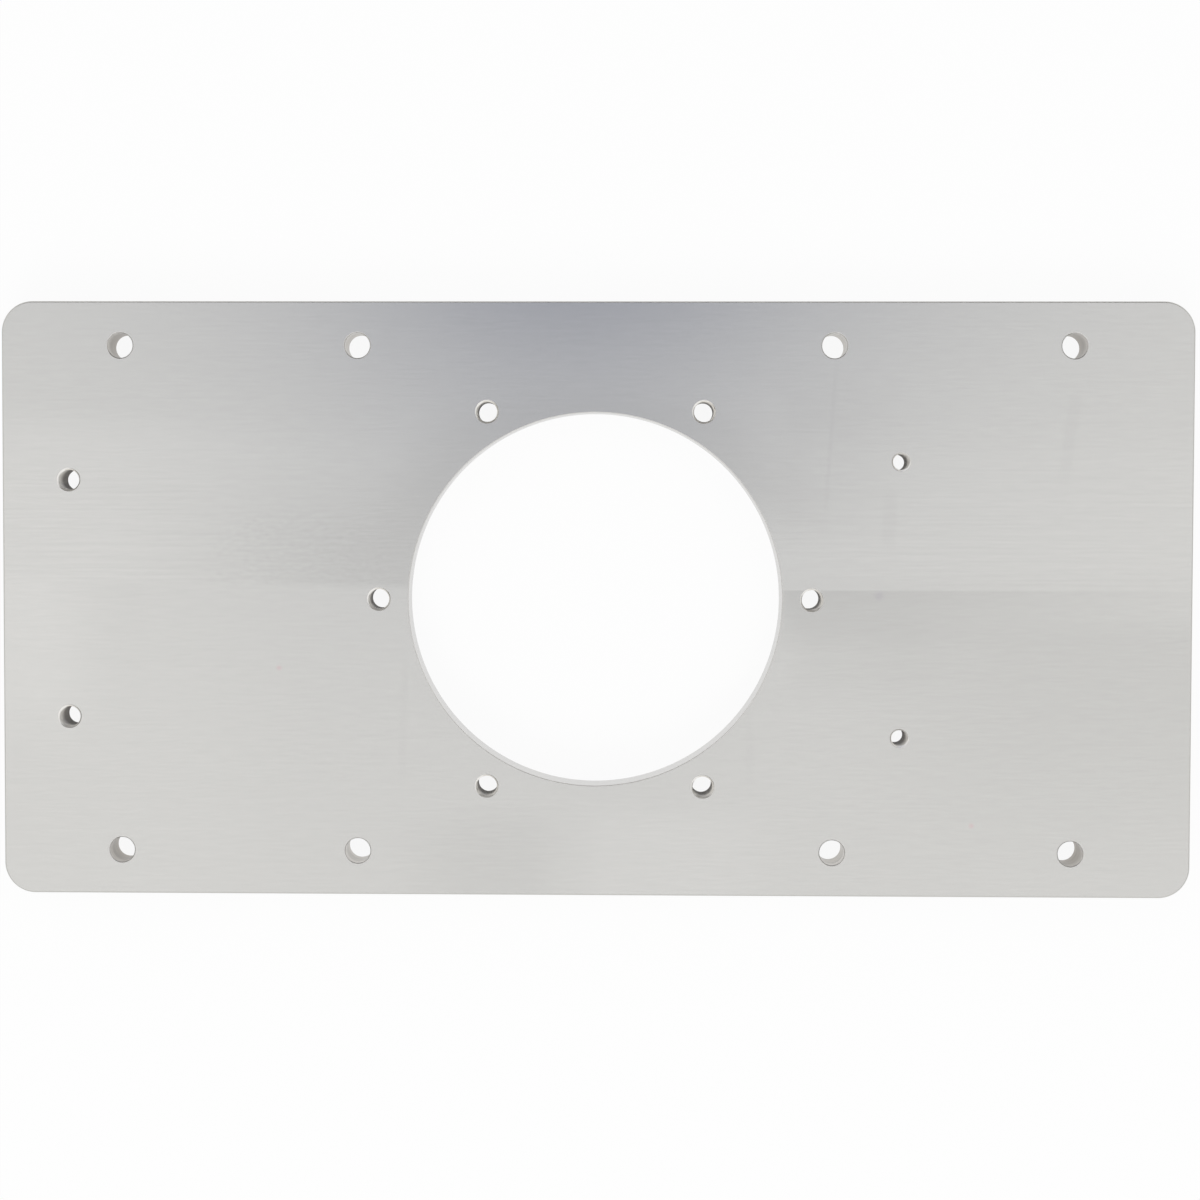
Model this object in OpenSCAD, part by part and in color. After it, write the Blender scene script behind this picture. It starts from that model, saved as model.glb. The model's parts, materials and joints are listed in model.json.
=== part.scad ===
// Mounting plate, cut from flat aluminium plate and drilled
//
// The plate lies flat on its back face: X runs along its length, Y across its
// width and Z up out of its front face. The origin is the middle of the back
// face, on the axis of the bore.

/* [Plate] */
// Length, end to end
plate_l = 250; // [220:1:320]
// Width, side to side
plate_w = 125; // [116:1:180]
// Thickness of the stock
plate_t = 8; // [5:0.5:14]
// Radius of the four corners
corner_r = 6.5; // [2:0.5:9]
// Width of the broken edge round the outline
edge_break = 0.3; // [0.1:0.05:0.6]

/* [Bore] */
// Diameter of the bore in the middle
bore_d = 78.5; // [60:0.5:84]
// Width of the broken edge at each mouth of the bore
bore_lip = 0.15; // [0.05:0.05:0.6]

/* [Flange screw holes] */
// Number of tapped holes round the bore
flange_n = 6; // [4:1:8]
// Land between the bore's wall and the screw circle
flange_land = 6.25; // [5.5:0.25:8]

/* [Frame bolt holes] */
// Diameter of the plain holes along both sides, a clearance hole for M5
bolt_d = 5.3; // [4.3:0.1:6.6]
// Width of the deburred lip at each mouth of a bolt hole
bolt_lip = 0.2; // [0.1:0.05:0.5]
// Distance from a side to the row of bolt holes beside it
bolt_side_inset = 9.25; // [7:0.25:11]
// Distance from an end to the nearest bolt holes
bolt_end_inset = 25; // [20:1:32]
// Distance between the two bolt holes of a pair
bolt_pitch = 50; // [40:1:56]

/* [End screw holes] */
// Distance from the left end to its two tapped holes
end_inset = 14; // [9:0.5:17]
// Distance between those two holes
end_spacing = 50; // [30:1:70]

/* [Small screw holes] */
// Distance from the bore's axis to the two small tapped holes
small_offset = 64; // [58:1:72]
// Distance between those two holes
small_spacing = 58; // [50:1:70]

/* [Threads] */
// Tapping drill of the flange and end screw holes, for M5
screw_drill_d = 4.2; // [3.3:0.1:5]
// Width of their countersunk lead-in, at both faces
screw_lead = 0.4; // [0.2:0.05:0.8]
// Tapping drill of the small screw holes, for M4
small_drill_d = 3.3; // [2.5:0.1:4.2]
// Width of their countersunk lead-in, at both faces
small_lead = 0.35; // [0.2:0.05:0.7]

/* [Hidden] */
// How far a cutter runs out past each face
run_out = 1;
// Facets of a full circle on the outline and on a hole
round_fn = 128;
bore_fn = 256;
hole_fn = 64;

// Radius of the circle that the flange screws lie on
flange_r = bore_d / 2 + flange_land;
// Rows of bolt holes, and the outer and inner hole of each pair
bolt_y = plate_w / 2 - bolt_side_inset;
bolt_outer_x = plate_l / 2 - bolt_end_inset;
bolt_inner_x = bolt_outer_x - bolt_pitch;
// Column of the two end screw holes
end_x = -(plate_l / 2 - end_inset);

// Section of a slab of width w: a rectangle with its four edges broken
module slab_section(w) {
    half = w / 2;
    polygon([
        [-half + edge_break, 0],
        [half - edge_break, 0],
        [half, edge_break],
        [half, plate_t - edge_break],
        [half - edge_break, plate_t],
        [-half + edge_break, plate_t],
        [-half, plate_t - edge_break],
        [-half, edge_break]
    ]);
}

// Round post that forms one corner, with the same broken edges
module corner_post() {
    rotate_extrude($fn = round_fn)
        polygon([
            [0, 0],
            [corner_r - edge_break, 0],
            [corner_r, edge_break],
            [corner_r, plate_t - edge_break],
            [corner_r - edge_break, plate_t],
            [0, plate_t]
        ]);
}

// The blank: two crossed slabs and four posts make one slab with round corners
module blank() {
    rotate([90, 0, 90])
        linear_extrude(plate_l - 2 * corner_r, center = true)
            slab_section(plate_w);
    rotate([90, 0, 0])
        linear_extrude(plate_w - 2 * corner_r, center = true)
            slab_section(plate_l);
    for (sx = [-1, 1], sy = [-1, 1])
        translate([sx * (plate_l / 2 - corner_r), sy * (plate_w / 2 - corner_r), 0])
            corner_post();
}

// Cutter for a through hole of diameter d, opened by lip at both faces at 45 degrees
module hole_cutter(d, lip, fn = hole_fn) {
    r = d / 2;
    rotate_extrude($fn = fn)
        polygon([
            [0, -run_out],
            [r + lip + run_out, -run_out],
            [r, lip],
            [r, plate_t - lip],
            [r + lip + run_out, plate_t + run_out],
            [0, plate_t + run_out]
        ]);
}

// Eight plain holes, in pairs along both sides
module bolt_holes() {
    for (x = [-bolt_outer_x, -bolt_inner_x, bolt_inner_x, bolt_outer_x], sy = [-1, 1])
        translate([x, sy * bolt_y, 0])
            hole_cutter(bolt_d, bolt_lip);
}

// Ring of tapped holes round the bore, the first one on the +X side
module flange_screw_holes() {
    for (i = [0 : flange_n - 1])
        rotate(i * 360 / flange_n)
            translate([flange_r, 0, 0])
                hole_cutter(screw_drill_d, screw_lead);
}

// Two tapped holes near the left end
module end_screw_holes() {
    for (sy = [-1, 1])
        translate([end_x, sy * end_spacing / 2, 0])
            hole_cutter(screw_drill_d, screw_lead);
}

// Two smaller tapped holes on the right of the bore
module small_screw_holes() {
    for (sy = [-1, 1])
        translate([small_offset, sy * small_spacing / 2, 0])
            hole_cutter(small_drill_d, small_lead);
}

// The finished plate
module plate() {
    color([0.78, 0.78, 0.77])
        difference() {
            blank();
            hole_cutter(bore_d, bore_lip, bore_fn);
            bolt_holes();
            flange_screw_holes();
            end_screw_holes();
            small_screw_holes();
        }
}

plate();
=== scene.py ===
import json
import math

import bmesh
import bpy
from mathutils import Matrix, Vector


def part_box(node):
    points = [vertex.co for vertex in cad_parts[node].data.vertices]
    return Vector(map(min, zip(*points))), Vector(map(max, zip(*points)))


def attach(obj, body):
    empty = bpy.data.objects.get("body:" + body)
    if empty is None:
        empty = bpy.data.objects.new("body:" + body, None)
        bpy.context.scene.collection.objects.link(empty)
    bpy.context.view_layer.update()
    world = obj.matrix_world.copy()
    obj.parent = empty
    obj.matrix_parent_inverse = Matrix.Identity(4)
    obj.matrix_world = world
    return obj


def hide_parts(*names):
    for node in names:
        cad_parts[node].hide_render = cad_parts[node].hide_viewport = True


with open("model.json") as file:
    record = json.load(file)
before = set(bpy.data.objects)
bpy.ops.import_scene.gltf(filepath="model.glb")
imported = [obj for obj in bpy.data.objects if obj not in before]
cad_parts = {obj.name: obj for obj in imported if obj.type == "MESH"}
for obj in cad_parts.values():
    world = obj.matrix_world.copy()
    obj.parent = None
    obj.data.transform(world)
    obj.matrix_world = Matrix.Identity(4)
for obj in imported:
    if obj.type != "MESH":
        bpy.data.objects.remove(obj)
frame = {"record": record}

scene = bpy.context.scene
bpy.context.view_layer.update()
low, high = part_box("plate")
mounts = {mount["name"]: mount for mount in frame["record"]["mounts"]}

# Camera
# The plate is seen from 430 mm above, a little towards its far side. The small shift
# frames it off the lens's axis, as a picture that was cut to a square has it.
CAMERA_AT = (0.00225, 0.01996, 0.43151)
# Turns in degrees, and the lens and the width of the film in mm
CAMERA_TURNS = (-1.761, 0.993, 0.114)
CAMERA_LENS = 60.51
FILM_WIDTH = 36.0
CAMERA_SHIFT = (0.0242, -0.0278)

camera_data = bpy.data.cameras.new("camera")
camera_data.sensor_width = FILM_WIDTH
camera_data.lens = CAMERA_LENS
camera_data.shift_x, camera_data.shift_y = CAMERA_SHIFT
camera = bpy.data.objects.new("camera", camera_data)
camera.location = CAMERA_AT
camera.rotation_euler = [math.radians(turn) for turn in CAMERA_TURNS]
scene.collection.objects.link(camera)
scene.camera = camera


# Table
# A matt white table top. It keeps the plate's soft shadow, and reads as white paper to
# the camera and in the metal.
def linear(hex_colour):
    """An sRGB hex colour as linear RGBA."""
    shades = [int(hex_colour[i:i + 2], 16) / 255 for i in (1, 3, 5)]
    return tuple(s / 12.92 if s <= 0.04045 else ((s + 0.055) / 1.055) ** 2.4 for s in shades) + (1.0,)


def add(tree, kind, inputs=None, **settings):
    """Adds a node. An input is a value, an output, a node (its first output) or a list of nodes."""
    node = tree.nodes.new(kind)
    for name, value in settings.items():
        setattr(node, name, value)
    for socket, value in (inputs or {}).items():
        sources = value if isinstance(value, list) else [value]
        for source in sources:
            if isinstance(source, bpy.types.Node):
                source = next(output for output in source.outputs if output.enabled)
            if isinstance(source, bpy.types.NodeSocket):
                tree.links.new(source, node.inputs[socket])
            else:
                node.inputs[socket].default_value = source
    return node


def new_material(name):
    """A material with an empty node tree, and that tree."""
    material = bpy.data.materials.new(name)
    material.use_nodes = True
    material.node_tree.nodes.clear()
    return material, material.node_tree


def white_rays(tree):
    """1 for the rays that see the white set: those of the camera, of gloss and through glass."""
    ray = add(tree, "ShaderNodeLightPath").outputs
    seen = ray["Is Camera Ray"]
    for other in (ray["Is Glossy Ray"], ray["Is Transmission Ray"]):
        seen = add(tree, "ShaderNodeMath", {0: seen, 1: other}, operation="MAXIMUM")
    return seen


TABLE_SIZE = 6.0
TABLE_WHITE = "#f4f4f4"
# Share of the table's white that doesn't depend on the light that reaches it. It grows to
# 1 between these distances from the plate's middle, where the table runs into the room.
TABLE_GLOW = 0.92
TABLE_FADE = (0.15, 0.9)

laminate, tree = new_material("matt_white_laminate")
place = add(tree, "ShaderNodeTexCoord").outputs["Object"]
distance = add(tree, "ShaderNodeVectorMath", {0: place}, operation="LENGTH")
glow = add(tree, "ShaderNodeMapRange", {
    "Value": distance,
    "From Min": TABLE_FADE[0],
    "From Max": TABLE_FADE[1],
    "To Min": TABLE_GLOW,
    "To Max": 1.0,
}, interpolation_type="SMOOTHSTEP")
share = add(tree, "ShaderNodeMath", {0: white_rays(tree), 1: glow}, operation="MULTIPLY")
lit = add(tree, "ShaderNodeBsdfDiffuse", {"Color": linear(TABLE_WHITE)})
white = add(tree, "ShaderNodeEmission", {"Color": linear("#ffffff")})
mixed = add(tree, "ShaderNodeMixShader", {0: share, 1: lit, 2: white})
add(tree, "ShaderNodeOutputMaterial", {"Surface": mixed})


def card(name, corners, material):
    """A flat four-cornered piece of the set."""
    mesh = bpy.data.meshes.new(name)
    mesh.from_pydata(corners, [], [(0, 1, 2, 3)])
    mesh.materials.append(material)
    board = bpy.data.objects.new(name, mesh)
    scene.collection.objects.link(board)
    return board


half = TABLE_SIZE / 2
card("table", [(-half, -half, 0), (half, -half, 0), (half, half, 0), (-half, half, 0)], laminate)

# Light
# An even white room and one large soft lamp on the near side, which gives the plate its
# shadow and is kept out of the metal, where it would glint.
ROOM_LIGHT = 0.8
LAMP_AT = (-0.2, -1.4, 1.1)
LAMP_SIZE = 0.8
LAMP_POWER = 8.0

world = bpy.data.worlds.new("white_room")
world.use_nodes = True
tree = world.node_tree
tree.nodes.clear()
strength = add(tree, "ShaderNodeMapRange", {"Value": white_rays(tree), "To Min": ROOM_LIGHT, "To Max": 1.0})
room = add(tree, "ShaderNodeBackground", {"Color": linear("#ffffff"), "Strength": strength})
add(tree, "ShaderNodeOutputWorld", {"Surface": room})
scene.world = world

lamp_data = bpy.data.lights.new("softbox", "AREA")
lamp_data.shape = "SQUARE"
lamp_data.size = LAMP_SIZE
lamp_data.energy = LAMP_POWER
lamp = bpy.data.objects.new("softbox", lamp_data)
lamp.location = LAMP_AT
lamp.rotation_euler = lamp.location.to_track_quat("Z", "Y").to_euler()
lamp.visible_glossy = False
scene.collection.objects.link(lamp)

# Cards
# Grey and white cards that only the metal shows. Four stand round the plate, so that
# bevels and lead-ins read against the face, and one hangs over the far side, where its
# soft dark shape falls across the top of the plate.
CARD_REACH = 1.0
CARD_HEIGHT = 0.5
CARD_TONES = {"near": "#ffffff", "right": "#d2d2d1", "far": "#8f8e8e", "left": "#dadad8"}
card_ends = {
    "near": ((-1, -1), (1, -1)),
    "right": ((1, -1), (1, 1)),
    "far": ((1, 1), (-1, 1)),
    "left": ((-1, 1), (-1, -1)),
}


def show_in_gloss_only(board):
    """Hides a card from the camera and takes its effect off the rest of the light."""
    board.visible_camera = False
    board.visible_diffuse = False
    board.visible_shadow = False


for side, ends in card_ends.items():
    grey, tree = new_material("grey_card_" + side)
    glow = add(tree, "ShaderNodeEmission", {"Color": linear(CARD_TONES[side])})
    add(tree, "ShaderNodeOutputMaterial", {"Surface": glow})
    foot = [(x * CARD_REACH, y * CARD_REACH, 0) for x, y in ends]
    top = [(x, y, CARD_HEIGHT) for x, y, _ in reversed(foot)]
    show_in_gloss_only(card(side + "_card", foot + top, grey))

SHADE_HEIGHT = 0.56
SHADE_TONE = "#455a88"
# Where it starts, is fully dark and ends along Y, and how far it reaches both ways along X
SHADE_START = 0.071
SHADE_FULL = 0.115
SHADE_END = 0.6
SHADE_REACH = 0.7
# Where its darkest line crosses the X axis, how that line leans with Y, and how far from
# the line the dark is half gone
SHADE_AT = -0.06
SHADE_LEAN = 0.26
SHADE_WIDTH = 0.1175

cloth, tree = new_material("dark_cloth")
place = add(tree, "ShaderNodeSeparateXYZ", {0: add(tree, "ShaderNodeTexCoord").outputs["Object"]}).outputs
middle = add(tree, "ShaderNodeMath", {0: place["Y"], 1: SHADE_LEAN, 2: SHADE_AT}, operation="MULTIPLY_ADD")
aside = add(tree, "ShaderNodeMath", {0: place["X"], 1: middle}, operation="SUBTRACT")
aside = add(tree, "ShaderNodeMath", {0: aside, 1: SHADE_WIDTH}, operation="DIVIDE")
spread = add(tree, "ShaderNodeMath", {0: aside, 1: aside, 2: 1.0}, operation="MULTIPLY_ADD")
along = add(tree, "ShaderNodeMapRange", {
    "Value": place["Y"],
    "From Min": SHADE_START,
    "From Max": SHADE_FULL,
})
depth = add(tree, "ShaderNodeMath", {0: along, 1: spread}, operation="DIVIDE")
tone = add(tree, "ShaderNodeMix", {0: depth, 6: linear("#ffffff"), 7: linear(SHADE_TONE)}, data_type="RGBA")
glow = add(tree, "ShaderNodeEmission", {"Color": tone})
add(tree, "ShaderNodeOutputMaterial", {"Surface": glow})
near_edge = [(-SHADE_REACH, SHADE_START, SHADE_HEIGHT), (SHADE_REACH, SHADE_START, SHADE_HEIGHT)]
far_edge = [(SHADE_REACH, SHADE_END, SHADE_HEIGHT), (-SHADE_REACH, SHADE_END, SHADE_HEIGHT)]
show_in_gloss_only(card("shade", near_edge + far_edge, cloth))

# Blank
# The plate itself: cut from rolled aluminium plate, its two faces brushed along the
# length in two passes, its sides milled, and every edge broken with a light bevel.
MM = 0.001
EDGE_BREAK = 0.3 * MM
CORNER_RADIUS = 6.5 * MM
CORNER_STEPS = 24
thickness = high.z - low.z


def millimetres(tree):
    """The place on the piece, in millimetres."""
    place = add(tree, "ShaderNodeTexCoord").outputs["Object"]
    return add(tree, "ShaderNodeVectorMath", {0: place, "Scale": 1 / MM}, operation="SCALE")


# Brushed mill-finish aluminium. The grain runs along X, so it smears reflections along Y and keeps them
# fairly narrow along X. Both passes of the belt show, with their seam a little above the middle, and so do
# the rubs of what the plate was slid and stacked on. Soft patches of tone on the front face are partly
# painted reflections of the room's light and shade.
FACE_COLOUR = "#d3d2cf"
FACE_ROUGHNESS = 0.27
FACE_ANISOTROPY = 0.7
# Marks of the belt: length and width in mm, and how far they move the tone. The real
# grain is finer than the first, which is drawn as coarse as it needs to show.
BELT_MARKS = [(5.0, 0.5, 0.08), (60.0, 1.4, 0.03), (14.0, 9.0, 0.02)]
# The seam falls from the first of these places to the second, in mm along X and Y, and runs
# level from there on
SEAM_LEFT = (-125.0, 4.1)
SEAM_RIGHT = (-40.0, 2.3)
# Stretches above the seam where the belt dragged: their marks as above, and where along X,
# and above the seam, each starts, is full, is full to, and ends, in mm
DRAGS = [
    ((40.0, 0.6, 0.1), (-200, -190, -90, -70), (-1, 1, 18, 30)),
    ((1.4, 0.7, 0.14), (-90, -75, -50, -35), (-1, 1, 12, 20)),
    ((40.0, 0.6, 0.08), (-50, -35, 190, 200), (-1, 1, 18, 30)),
]
# Places of another tone, in part the finish's own uneven tone and in part painted reflections of the room's
# light and shade: the change, and where each is, given in the same way
TONE_AND_REFLECTION_PATCHES = [
    (0.022, (25, 45, 130, 140), (0, 6, 24, 36)),
    (-0.110, (35, 42, 42, 150), (-15, -1, -0.5, 0)),
    (-0.068, (40, 95, 190, 200), (-74, -18, -12, -3)),
    (-0.090, (-110, -42, -36, -20), (-1, 1.6, 6, 28)),
    (0.055, (-150, -140, -108, -35), (-1, 1.6, 28, 39)),
    (0.055, (-150, -140, -118, -98), (-42, -18, -1, 1.6)),
    (0.022, (-150, -140, -95, -55), (-80, -75, -1, 1.6)),
    (-0.045, (-48, -24, -17, -3), (-80, -70, -54, -42)),
    (0.035, (-6, 4, 22, 45), (-80, -70, -52, -42)),
    (-0.030, (36, 43, 50, 70), (8, 16, 34, 50)),
    (-0.035, (38, 46, 62, 80), (-26, -16, -10, -3)),
]
# Painted shade round the upper half of the bore, a darker reflection of the dark shade that hangs above:
# its change of tone, how far it spreads from the rim in mm, and where it is above the seam
PAINTED_SHADE_RING = (-0.075, 17, (6, 24, 33, 48))
# Rubs that cross the grain: the middle of each, its lean away from Y, its length and width
# in mm, and its change of tone. Each fades from its middle half to its edges.
RUB_EDGES = (-0.5, -0.25, 0.25, 0.5)
RUBS = [
    ((49.2, 33.0), 0.066, 42, 1.1, -0.019),
    ((61.6, 17.0), 0.04, 15, 4.0, -0.022),
    ((99.0, 34.0), 0.14, 24, 3.4, -0.020),
    ((-40.3, -25.0), 0.03, 32, 2.0, -0.014),
    ((32.5, -31.0), -0.05, 20, 2.4, -0.012),
]
# Soft specks of dirt: where each is on the front face, its radius in mm, and the face's
# colour at its middle
SPECKS = [
    ((59.5, 0.9), 1.6, "#cdcbcb"),
    ((-66.6, -14.6), 0.9, "#d7cbc9"),
    ((79.2, -47.4), 0.9, "#d7cbc9"),
]

brushed, tree = new_material("brushed_mill_aluminium")
mm = millimetres(tree)
at = add(tree, "ShaderNodeSeparateXYZ", {0: mm}).outputs
seam = add(tree, "ShaderNodeMapRange", {
    "Value": at["X"],
    "From Min": SEAM_LEFT[0],
    "From Max": SEAM_RIGHT[0],
    "To Min": SEAM_LEFT[1],
    "To Max": SEAM_RIGHT[1],
})
above = add(tree, "ShaderNodeMath", {0: at["Y"], 1: seam}, operation="SUBTRACT")
halfway = thickness / MM / 2
is_front = add(tree, "ShaderNodeMath", {0: at["Z"], 1: halfway}, operation="GREATER_THAN")

# How ragged every tool mark is
MARK_DETAIL = 3.0
MARK_ROUGHNESS = 0.6


def tool_marks(tree, mm, marks_per_mm):
    """Noise with this many marks per mm along each axis."""
    place = add(tree, "ShaderNodeMapping", {"Vector": mm, "Scale": marks_per_mm})
    return add(tree, "ShaderNodeTexNoise", {
        "Vector": place,
        "Scale": 1.0,
        "Detail": MARK_DETAIL,
        "Roughness": MARK_ROUGHNESS,
    })


def streaks(tree, mm, length, width, swing):
    """Marks drawn out along X, from minus to plus half the swing."""
    marks = tool_marks(tree, mm, (1 / length, 1 / width, 1))
    return add(tree, "ShaderNodeMapRange", {"Value": marks, "To Min": -swing / 2, "To Max": swing / 2})


def retoned(tree, tone, change, *masks):
    """The tone times 1 plus the change, as far as every mask lets it."""
    for mask in masks:
        change = add(tree, "ShaderNodeMath", {0: change, 1: mask}, operation="MULTIPLY")
    change = add(tree, "ShaderNodeMath", {0: change, 1: 1.0}, operation="ADD")
    return add(tree, "ShaderNodeMath", {0: tone, 1: change}, operation="MULTIPLY")


def within(tree, value, edges):
    """1 where the value is between the middle two of four edges, fading to 0 at the outer two."""
    start, full, full_to, end = edges
    rise = add(tree, "ShaderNodeMapRange", {
        "Value": value,
        "From Min": start,
        "From Max": full,
    }, interpolation_type="SMOOTHSTEP")
    fall = add(tree, "ShaderNodeMapRange", {
        "Value": value,
        "From Min": full_to,
        "From Max": end,
        "To Min": 1.0,
        "To Max": 0.0,
    }, interpolation_type="SMOOTHSTEP")
    return add(tree, "ShaderNodeMath", {0: rise, 1: fall}, operation="MULTIPLY")


tone = 1.0
for length, width, swing in BELT_MARKS:
    tone = retoned(tree, tone, streaks(tree, mm, length, width, swing))
for marks, along, up in DRAGS:
    dragged = streaks(tree, mm, *marks)
    tone = retoned(tree, tone, dragged, within(tree, at["X"], along), within(tree, above, up))
# Painted reflections of the room's light and shade, mixed with the finish's own uneven tone
for change, along, up in TONE_AND_REFLECTION_PATCHES:
    tone = retoned(tree, tone, change, is_front, within(tree, at["X"], along), within(tree, above, up))
# Painted reflection of the shade, darkening the face round the upper half of the bore
shade_ring_change, shade_ring_spread, shade_ring_up = PAINTED_SHADE_RING
bore_radius = mounts["bore"]["dims"]["r_mm"]
on_face = add(tree, "ShaderNodeVectorMath", {0: mm, 1: (1, 1, 0)}, operation="MULTIPLY")
shade_ring_mask = add(tree, "ShaderNodeMapRange", {
    "Value": add(tree, "ShaderNodeVectorMath", {0: on_face}, operation="LENGTH"),
    "From Min": bore_radius + shade_ring_spread,
    "From Max": bore_radius,
}, interpolation_type="SMOOTHSTEP")
tone = retoned(tree, tone, shade_ring_change, is_front, shade_ring_mask, within(tree, above, shade_ring_up))
for (x, y), lean, length, width, change in RUBS:
    aside = add(tree, "ShaderNodeVectorMath", {0: mm, 1: (1, -lean, 0)}, operation="DOT_PRODUCT")
    edges_across = [x - lean * y + width * share for share in RUB_EDGES]
    edges_along = [y + length * share for share in RUB_EDGES]
    rub = [within(tree, aside, edges_across), within(tree, at["Y"], edges_along)]
    tone = retoned(tree, tone, change, is_front, *rub)
colour = linear(FACE_COLOUR)
for (x, y), radius, dirt in SPECKS:
    away = add(tree, "ShaderNodeVectorMath", {0: mm, 1: (x, y, thickness / MM)}, operation="DISTANCE")
    inside = add(tree, "ShaderNodeMapRange", {
        "Value": away,
        "From Min": radius,
        "From Max": 0.0,
    }, interpolation_type="SMOOTHSTEP")
    colour = add(tree, "ShaderNodeMix", {0: inside, 6: colour, 7: linear(dirt)}, data_type="RGBA")
colour = add(tree, "ShaderNodeMix", {0: 1.0, 6: colour, 7: tone}, data_type="RGBA", blend_type="MULTIPLY")
across = add(tree, "ShaderNodeCombineXYZ", {"Y": 1.0})
metal = add(tree, "ShaderNodeBsdfPrincipled", {
    "Base Color": colour,
    "Metallic": 1.0,
    "Roughness": FACE_ROUGHNESS,
    "Anisotropic": FACE_ANISOTROPY,
    "Tangent": across,
})
add(tree, "ShaderNodeOutputMaterial", {"Surface": metal})


# Where between 0 and 1 the noise of the marks counts as low and as high, the share by which
# the roughness swings between the two, and the depth and strength of the marks
MARK_RANGE = (0.3, 0.7)
ROUGHNESS_SWING = 0.3
MARK_DEPTH = 0.02 * MM
MARK_STRENGTH = 0.3


def machined(name, colour, roughness, marks_per_mm, swing=0.16, deep=None, fade=(0, 8)):
    """Bare aluminium as a cutter leaves it. The marks run along the axes that have few of them.

    The marks move the colour by the swing. Where a deep colour is given, the colour turns to it between the
    two depths in fade, in mm below the front face, as painted shade of a hole's depth.
    """
    material, tree = new_material(name)
    mm = millimetres(tree)
    marks = tool_marks(tree, mm, marks_per_mm)
    depth = add(tree, "ShaderNodeMapRange", {
        "Value": add(tree, "ShaderNodeSeparateXYZ", {0: mm}).outputs["Z"],
        "From Min": thickness / MM - fade[0],
        "From Max": thickness / MM - fade[1],
    })
    tone = add(tree, "ShaderNodeMix", {
        0: depth,
        6: linear(colour),
        7: linear(deep or colour),
    }, data_type="RGBA")
    shade = add(tree, "ShaderNodeMapRange", {
        "Value": marks,
        "From Min": MARK_RANGE[0],
        "From Max": MARK_RANGE[1],
        "To Min": 1 - swing / 2,
        "To Max": 1 + swing / 2,
    })
    tone = add(tree, "ShaderNodeMix", {0: 1.0, 6: tone, 7: shade}, data_type="RGBA", blend_type="MULTIPLY")
    rough = add(tree, "ShaderNodeMapRange", {
        "Value": marks,
        "From Min": MARK_RANGE[0],
        "From Max": MARK_RANGE[1],
        "To Min": roughness * (1 - ROUGHNESS_SWING / 2),
        "To Max": roughness * (1 + ROUGHNESS_SWING / 2),
    })
    bump = add(tree, "ShaderNodeBump", {"Strength": MARK_STRENGTH, "Distance": MARK_DEPTH, "Height": marks})
    metal = add(tree, "ShaderNodeBsdfPrincipled", {
        "Base Color": tone,
        "Metallic": 1.0,
        "Roughness": rough,
        "Normal": bump,
    })
    add(tree, "ShaderNodeOutputMaterial", {"Surface": metal})
    return material


# The cutter leaves fine upright lines on the sides, and the file a plain satin on their edges
milled = machined("milled_aluminium", "#c9c8c5", 0.35, (2, 2, 0.05), swing=0.1)
filed = machined("filed_aluminium", "#c6c5c1", 0.35, (0.5, 0.5, 0.5), swing=0.06)
finishes = [brushed, milled, filed]

# A broken edge is a bevel with worn shoulders: a power of 1 would make it a quarter round,
# and 2 a flat. Each step of it has its share of the width that is still to go, and its
# share of the depth that it has reached.
EDGE_STEPS = 4
EDGE_POWER = 1.7
edge_steps = []
for step in range(EDGE_STEPS + 1):
    turn = math.pi / 2 * step / EDGE_STEPS
    edge_steps.append((1 - math.sin(turn) ** EDGE_POWER, 1 - math.cos(turn) ** EDGE_POWER))


def outline(inset, z):
    """Points of the rounded rectangle, inset from the plate's sides, at height z."""
    radius = CORNER_RADIUS - inset
    points = []
    corners = [(high.x, high.y), (low.x, high.y), (low.x, low.y), (high.x, low.y)]
    for quarter, (side_x, side_y) in enumerate(corners):
        centre_x = side_x - math.copysign(CORNER_RADIUS, side_x)
        centre_y = side_y - math.copysign(CORNER_RADIUS, side_y)
        for step in range(CORNER_STEPS + 1):
            angle = math.pi / 2 * (quarter + step / CORNER_STEPS)
            points.append((centre_x + radius * math.cos(angle), centre_y + radius * math.sin(angle), z))
    return points


plate = bmesh.new()
loops = [outline(EDGE_BREAK * aside, low.z + EDGE_BREAK * down) for aside, down in edge_steps]
loops += [outline(EDGE_BREAK * aside, high.z - EDGE_BREAK * down) for aside, down in reversed(edge_steps)]
rings = [[plate.verts.new(point) for point in loop] for loop in loops]
for level, (ring, next_ring) in enumerate(zip(rings, rings[1:])):
    finish = milled if level == EDGE_STEPS else filed
    for i in range(len(ring)):
        side = plate.faces.new((ring[i - 1], ring[i], next_ring[i], next_ring[i - 1]))
        side.material_index = finishes.index(finish)

# Bore
# The large hole for the flange, bored to a bright wall with fine turning rings. Its two
# rims are broken as the plate's edges are, but only half as wide.
BORE_LIP = 0.15 * MM
BORE_STEPS = 256
# Boring leaves about four rings a millimetre, and deburring paler, plain rims
bored = machined("bored_aluminium", "#d3d2d0", 0.3, (0.02, 0.02, 4))
deburred = machined("deburred_aluminium", "#dddbd8", 0.35, (0.5, 0.5, 0.5), swing=0.06)
finishes += [bored, deburred]


def new_tree(name, kinds):
    """A geometry tree that works on points, with named inputs of these kinds, and what they give."""
    tree = bpy.data.node_groups.new(name, "GeometryNodeTree")
    tree.interface.new_socket(name="Geometry", in_out="INPUT", socket_type="NodeSocketGeometry")
    for given_name, kind in kinds.items():
        tree.interface.new_socket(name=given_name, in_out="INPUT", socket_type=kind)
    tree.interface.new_socket(name="Geometry", in_out="OUTPUT", socket_type="NodeSocketGeometry")
    return tree, add(tree, "NodeGroupInput").outputs


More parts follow.
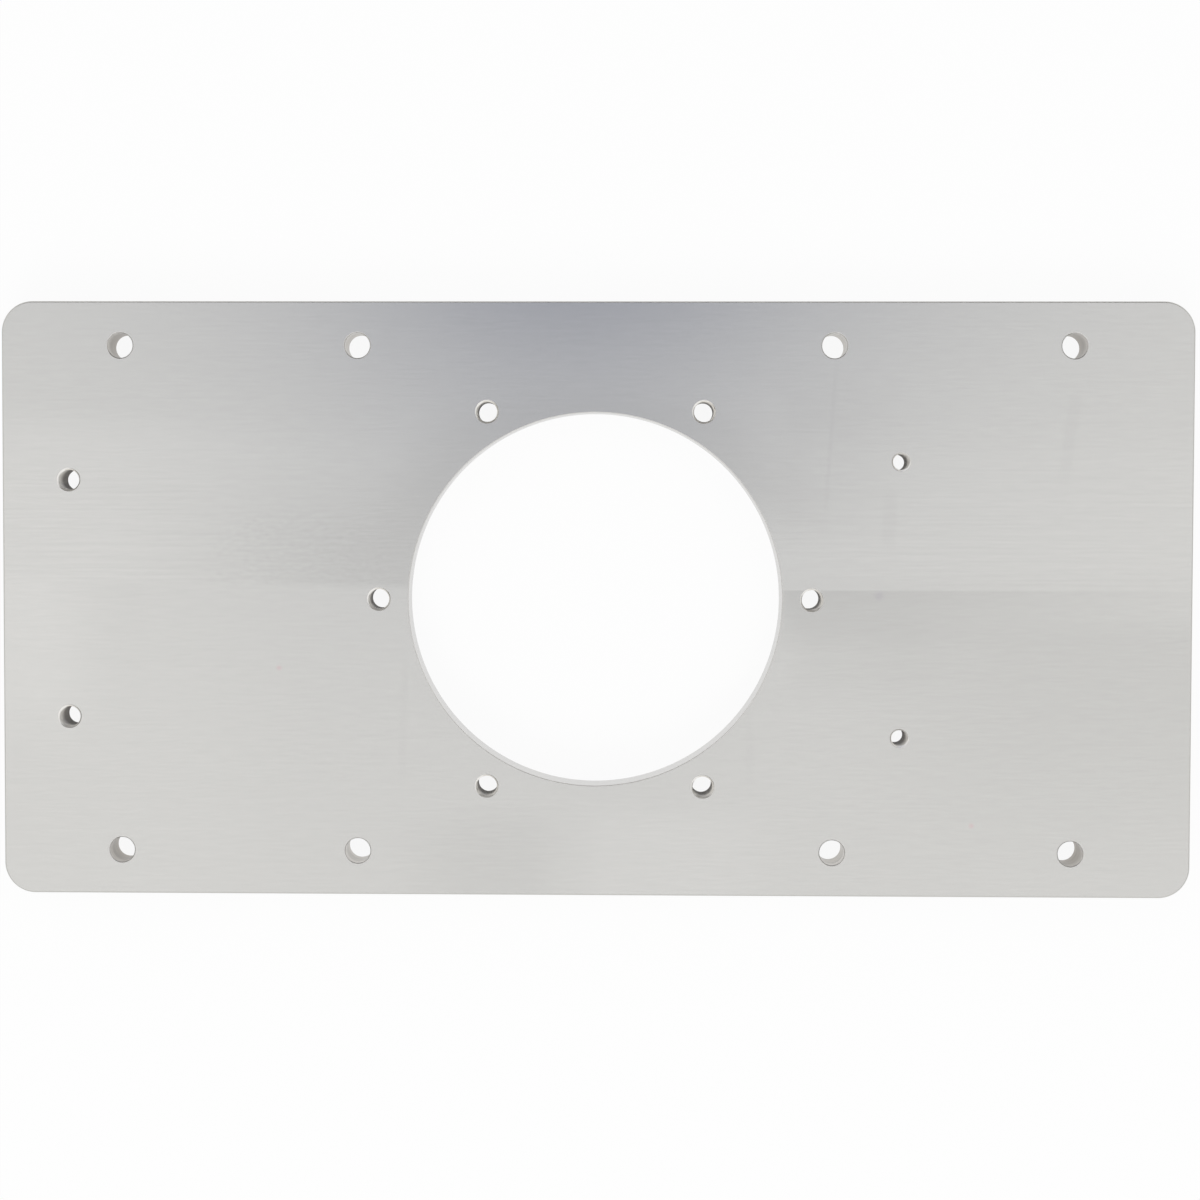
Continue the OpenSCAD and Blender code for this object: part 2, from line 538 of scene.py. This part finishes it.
def finish_tree(tree, given, wall):
    """Ends a tree: one wall at each point, made real, with one finish at its mouths and one between."""
    placed = add(tree, "GeometryNodeInstanceOnPoints", {"Points": given["Geometry"], "Instance": wall})
    real = add(tree, "GeometryNodeRealizeInstances", {0: placed})
    height = add(tree, "ShaderNodeSeparateXYZ", {0: add(tree, "GeometryNodeInputPosition")}).outputs["Z"]
    from_front = add(tree, "ShaderNodeMath", {0: given["Thickness"], 1: height}, operation="SUBTRACT")
    from_face = add(tree, "ShaderNodeMath", {0: height, 1: from_front}, operation="MINIMUM")
    mouth = add(tree, "ShaderNodeMath", {0: from_face, 1: given["Lip"]}, operation="LESS_THAN")
    painted = add(tree, "GeometryNodeSetMaterial", {"Geometry": real, "Material": given["Finish"]})
    painted = add(tree, "GeometryNodeSetMaterial", {
        "Geometry": painted,
        "Selection": mouth,
        "Material": given["Mouth Finish"],
    })
    add(tree, "NodeGroupOutput", {0: painted})


# The wall of a drilled or bored hole is a stack of bands, the steps of the broken edge at
# each mouth and the wall between them
drilled_wall, given = new_tree("drilled_wall", {
    "Radius": "NodeSocketFloat",
    "Lip": "NodeSocketFloat",
    "Thickness": "NodeSocketFloat",
    "Steps": "NodeSocketInt",
    "Finish": "NodeSocketMaterial",
    "Mouth Finish": "NodeSocketMaterial",
})
tree = drilled_wall
back_rims = []
front_rims = []
for aside, down in edge_steps:
    opened = add(tree, "ShaderNodeMath", {0: given["Lip"], 1: aside}, operation="MULTIPLY")
    radius = add(tree, "ShaderNodeMath", {0: given["Radius"], 1: opened}, operation="ADD")
    depth = add(tree, "ShaderNodeMath", {0: given["Lip"], 1: down}, operation="MULTIPLY")
    height = add(tree, "ShaderNodeMath", {0: given["Thickness"], 1: depth}, operation="SUBTRACT")
    back_rims.append((radius, depth))
    front_rims.append((radius, height))
rims = back_rims + front_rims[::-1]
bands = []
for (radius, height), (next_radius, next_height) in zip(rims, rims[1:]):
    climb = add(tree, "ShaderNodeMath", {0: next_height, 1: height}, operation="SUBTRACT")
    band = add(tree, "GeometryNodeMeshCone", {
        "Vertices": given["Steps"],
        "Radius Bottom": radius,
        "Radius Top": next_radius,
        "Depth": climb,
    }, fill_type="NONE")
    rise = add(tree, "ShaderNodeCombineXYZ", {"Z": height})
    bands.append(add(tree, "GeometryNodeTransform", {"Geometry": band, "Translation": rise}))
finish_tree(tree, given, add(tree, "GeometryNodeJoinGeometry", {0: bands}))


def centres(mount):
    """Where a mount's holes are: on its circle, at the corners of its rectangle, or at its middle."""
    x, y, _ = mount["pos_m"]
    dims = mount["dims"]
    if "pcd_mm" in dims:
        radius = dims["pcd_mm"] / 2 * MM
        turns = [2 * math.pi * i / dims["count"] for i in range(dims["count"])]
        return [(x + radius * math.cos(turn), y + radius * math.sin(turn)) for turn in turns]
    reach_x = dims.get("spacing_x_mm", 0) / 2 * MM
    reach_y = dims.get("spacing_y_mm", 0) / 2 * MM
    return sorted({(x + side * reach_x, y + way * reach_y) for side in (-1, 1) for way in (-1, 1)})


def cut(tree, mount_name, inputs):
    """Adds the tree's wall to the plate at each hole of a mount."""
    points = bpy.data.meshes.new("hole_centres")
    points.from_pydata([(x, y, low.z) for x, y in centres(mounts[mount_name])], [], [])
    maker = bpy.data.objects.new("hole_maker", points)
    scene.collection.objects.link(maker)
    modifier = maker.modifiers.new("walls", "NODES")
    modifier.node_group = tree
    for item in tree.interface.items_tree:
        if item.in_out == "INPUT" and item.name in inputs:
            modifier[item.identifier] = inputs[item.name]
    walls = bpy.data.meshes.new_from_object(maker.evaluated_get(bpy.context.evaluated_depsgraph_get()))
    bpy.data.objects.remove(maker)
    first = len(plate.faces)
    plate.from_mesh(walls)
    plate.faces.ensure_lookup_table()
    for face in plate.faces[first:]:
        face.material_index = finishes.index(walls.materials[face.material_index])


cut(drilled_wall, "bore", {
    "Radius": bore_radius * MM,
    "Lip": BORE_LIP,
    "Thickness": thickness,
    "Steps": BORE_STEPS,
    "Finish": bored,
    "Mouth Finish": deburred,
})

# Bolt holes
# Eight plain holes, drilled through and only just deburred, so that their mouths have a hair-thin bevel and
# their walls show the drill's rings. The inner four are painted lighter, a lit copy of the same finish, and
# all of them are painted darker further down, as painted shade in the depth of each hole.
BOLT_LIP = 0.2 * MM
BOLT_STEPS = 64
# The drill's rings per mm along each axis, drawn as coarse as they need to show, how far they move the
# tone, and the depths in mm between which the walls are painted darker, as painted shade
DRILL_RINGS = (0.1, 0.1, 0.7)
RING_SWING = 0.5
SHADED_BELOW = (0, 3.2)
# Painted shade: the outer four walls turn darker with depth
drilled = machined(
    "drilled_aluminium",
    "#d0ccc6",
    0.38,
    DRILL_RINGS,
    swing=RING_SWING,
    deep="#9e9992",
    fade=SHADED_BELOW,
)
# Painted light and shade: a lighter copy for the inner four, also darker with depth
bright = machined(
    "bright_drilled_aluminium",
    "#dad6d1",
    0.32,
    DRILL_RINGS,
    swing=RING_SWING,
    deep="#b4b0a9",
    fade=SHADED_BELOW,
)
for mount_name, finish in [("frame_bolts_outer", drilled), ("frame_bolts_inner", bright)]:
    finishes.append(finish)
    cut(drilled_wall, mount_name, {
        "Radius": mounts[mount_name]["dims"]["hole_r_mm"] * MM,
        "Lip": BOLT_LIP,
        "Thickness": thickness,
        "Steps": BOLT_STEPS,
        "Finish": finish,
        "Mouth Finish": deburred,
    })

# Tapped holes
# Ten through holes with real right-hand threads: eight for M5 screws, round the bore and
# at the left end, and two for M4. Each is countersunk at both faces before tapping.
M5_PITCH = 0.8 * MM
M5_LEAD = 0.4 * MM
M5_STEPS = 48
M4_PITCH = 0.7 * MM
M4_LEAD = 0.35 * MM
M4_STEPS = 40
# A thread's depth from crest to root, as a share of its pitch
THREAD_DEPTH = 0.5
# Rows of the wall's mesh in one turn. The crest is 3 of them wide and the root 1, and each
# flank takes half of the rest.
ROWS_A_TURN = 8
CREST_ROWS = 3
ROOT_ROWS = 1
# Where the winding meets itself, points that are this close become one
ROW_GAP = 0.002 * MM
# The countersinks are bright, and the threads are painted darker further into the hole, as painted shade of
# its depth
countersunk = machined("countersunk_aluminium", "#f0eeea", 0.35, (0.5, 0.5, 0.5), swing=0.06)
# Painted shade: the threads turn darker with depth
tapped = machined("tapped_aluminium", "#e2ded7", 0.45, (1, 1, 1), deep="#807c77", fade=(0.4, 4))
finishes += [countersunk, tapped]

# The wall of a tapped hole is a grid wound into a helix, and rows that pass a face are
# folded back onto the hole's mouth
tapped_wall, given = new_tree("tapped_wall", {
    "Radius": "NodeSocketFloat",
    "Lip": "NodeSocketFloat",
    "Pitch": "NodeSocketFloat",
    "Depth": "NodeSocketFloat",
    "Thickness": "NodeSocketFloat",
    "Steps": "NodeSocketInt",
    "Rows": "NodeSocketInt",
    "Finish": "NodeSocketMaterial",
    "Mouth Finish": "NodeSocketMaterial",
})
tree = tapped_wall
columns = add(tree, "ShaderNodeMath", {0: given["Steps"], 1: 1.0}, operation="ADD")
lines = add(tree, "ShaderNodeMath", {0: given["Rows"], 1: 1.0}, operation="ADD")
grid = add(tree, "GeometryNodeMeshGrid", {"Vertices X": columns, "Vertices Y": lines})
spot = add(tree, "ShaderNodeSeparateXYZ", {0: add(tree, "GeometryNodeInputPosition")}).outputs
around = add(tree, "ShaderNodeMath", {0: spot["X"], 1: 0.5}, operation="ADD")
share = add(tree, "ShaderNodeMath", {0: spot["Y"], 1: 0.5}, operation="ADD")
row = add(tree, "ShaderNodeMath", {0: share, 1: given["Rows"]}, operation="MULTIPLY")
turn = add(tree, "ShaderNodeMath", {0: row, 1: ROWS_A_TURN}, operation="DIVIDE")
climb = add(tree, "ShaderNodeMath", {0: turn, 1: around}, operation="ADD")
climb = add(tree, "ShaderNodeMath", {0: climb, 1: 1.0}, operation="SUBTRACT")
height = add(tree, "ShaderNodeMath", {0: climb, 1: given["Pitch"]}, operation="MULTIPLY")
height = add(tree, "ShaderNodeMath", {0: height, 1: 0.0}, operation="MAXIMUM")
height = add(tree, "ShaderNodeMath", {0: height, 1: given["Thickness"]}, operation="MINIMUM")
# The thread's section, from crest to root. The crest's middle is half a row before the
# turn, so that the corners of the section fall on rows.
centred = add(tree, "ShaderNodeMath", {0: turn, 1: 0.5 / ROWS_A_TURN}, operation="ADD")
section = add(tree, "ShaderNodeMath", {0: centred, 1: 0.5}, operation="PINGPONG")
cutting = add(tree, "ShaderNodeMapRange", {
    "Value": section,
    "From Min": CREST_ROWS / 2 / ROWS_A_TURN,
    "From Max": (ROWS_A_TURN - ROOT_ROWS) / 2 / ROWS_A_TURN,
})
cutting = add(tree, "ShaderNodeMath", {0: cutting, 1: given["Depth"]}, operation="MULTIPLY")
thread = add(tree, "ShaderNodeMath", {0: given["Radius"], 1: cutting}, operation="ADD")
from_front = add(tree, "ShaderNodeMath", {0: given["Thickness"], 1: height}, operation="SUBTRACT")
to_mouth = add(tree, "ShaderNodeMath", {0: height, 1: from_front}, operation="MINIMUM")
mouth = add(tree, "ShaderNodeMath", {0: given["Radius"], 1: given["Lip"]}, operation="ADD")
cone = add(tree, "ShaderNodeMath", {0: mouth, 1: to_mouth}, operation="SUBTRACT")
radius = add(tree, "ShaderNodeMath", {0: thread, 1: cone}, operation="MAXIMUM")
angle = add(tree, "ShaderNodeMath", {0: around, 1: 2 * math.pi}, operation="MULTIPLY")
cosine = add(tree, "ShaderNodeMath", {0: angle}, operation="COSINE")
sine = add(tree, "ShaderNodeMath", {0: angle}, operation="SINE")
x = add(tree, "ShaderNodeMath", {0: radius, 1: cosine}, operation="MULTIPLY")
y = add(tree, "ShaderNodeMath", {0: radius, 1: sine}, operation="MULTIPLY")
wound = add(tree, "ShaderNodeCombineXYZ", {"X": x, "Y": y, "Z": height})
helix = add(tree, "GeometryNodeSetPosition", {"Geometry": grid, "Position": wound})
joined = add(tree, "GeometryNodeMergeByDistance", {"Geometry": helix, "Distance": ROW_GAP})
finish_tree(tree, given, joined)


def rows_for(pitch):
    """Rows that reach from one turn below the back face to the front face."""
    return ROWS_A_TURN * (math.ceil(thickness / pitch) + 1)


for mount_name, pitch, lead, steps in [
    ("flange_screws", M5_PITCH, M5_LEAD, M5_STEPS),
    ("end_screws", M5_PITCH, M5_LEAD, M5_STEPS),
    ("small_screws", M4_PITCH, M4_LEAD, M4_STEPS),
]:
    cut(tapped_wall, mount_name, {
        "Radius": mounts[mount_name]["dims"]["hole_r_mm"] * MM,
        "Lip": lead,
        "Pitch": pitch,
        "Depth": pitch * THREAD_DEPTH,
        "Thickness": thickness,
        "Steps": steps,
        "Rows": rows_for(pitch),
        "Finish": tapped,
        "Mouth Finish": countersunk,
    })

# Faces
# The front and back face close the blank between the outline and the rims of the holes.
# They meet each broken edge in a crisp line, and the steps of the edges are smooth.
WELD = 0.001 * MM
SHARP = math.radians(25)
flat = finishes.index(brushed)
bmesh.ops.remove_doubles(plate, verts=plate.verts, dist=WELD)
for z in (low.z, high.z):
    open_edges = [edge for edge in plate.edges if edge.is_boundary]
    rim_edges = [edge for edge in open_edges if all(abs(vert.co.z - z) < WELD for vert in edge.verts)]
    filled = bmesh.ops.triangle_fill(plate, use_beauty=True, edges=rim_edges)
    for item in filled["geom"]:
        if isinstance(item, bmesh.types.BMFace):
            item.material_index = flat
bmesh.ops.recalc_face_normals(plate, faces=plate.faces)
for face in plate.faces:
    face.smooth = True
for edge in plate.edges:
    flats = [face.material_index == flat for face in edge.link_faces]
    edge.smooth = edge.calc_face_angle(0) < SHARP and not (any(flats) and not all(flats))
plate_mesh = bpy.data.meshes.new("drilled_plate")
plate.to_mesh(plate_mesh)
plate.free()
for finish in finishes:
    plate_mesh.materials.append(finish)
drilled_plate = bpy.data.objects.new("drilled_plate", plate_mesh)
scene.collection.objects.link(drilled_plate)
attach(drilled_plate, "root")
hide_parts("plate")

scene.view_settings.view_transform = "Standard"
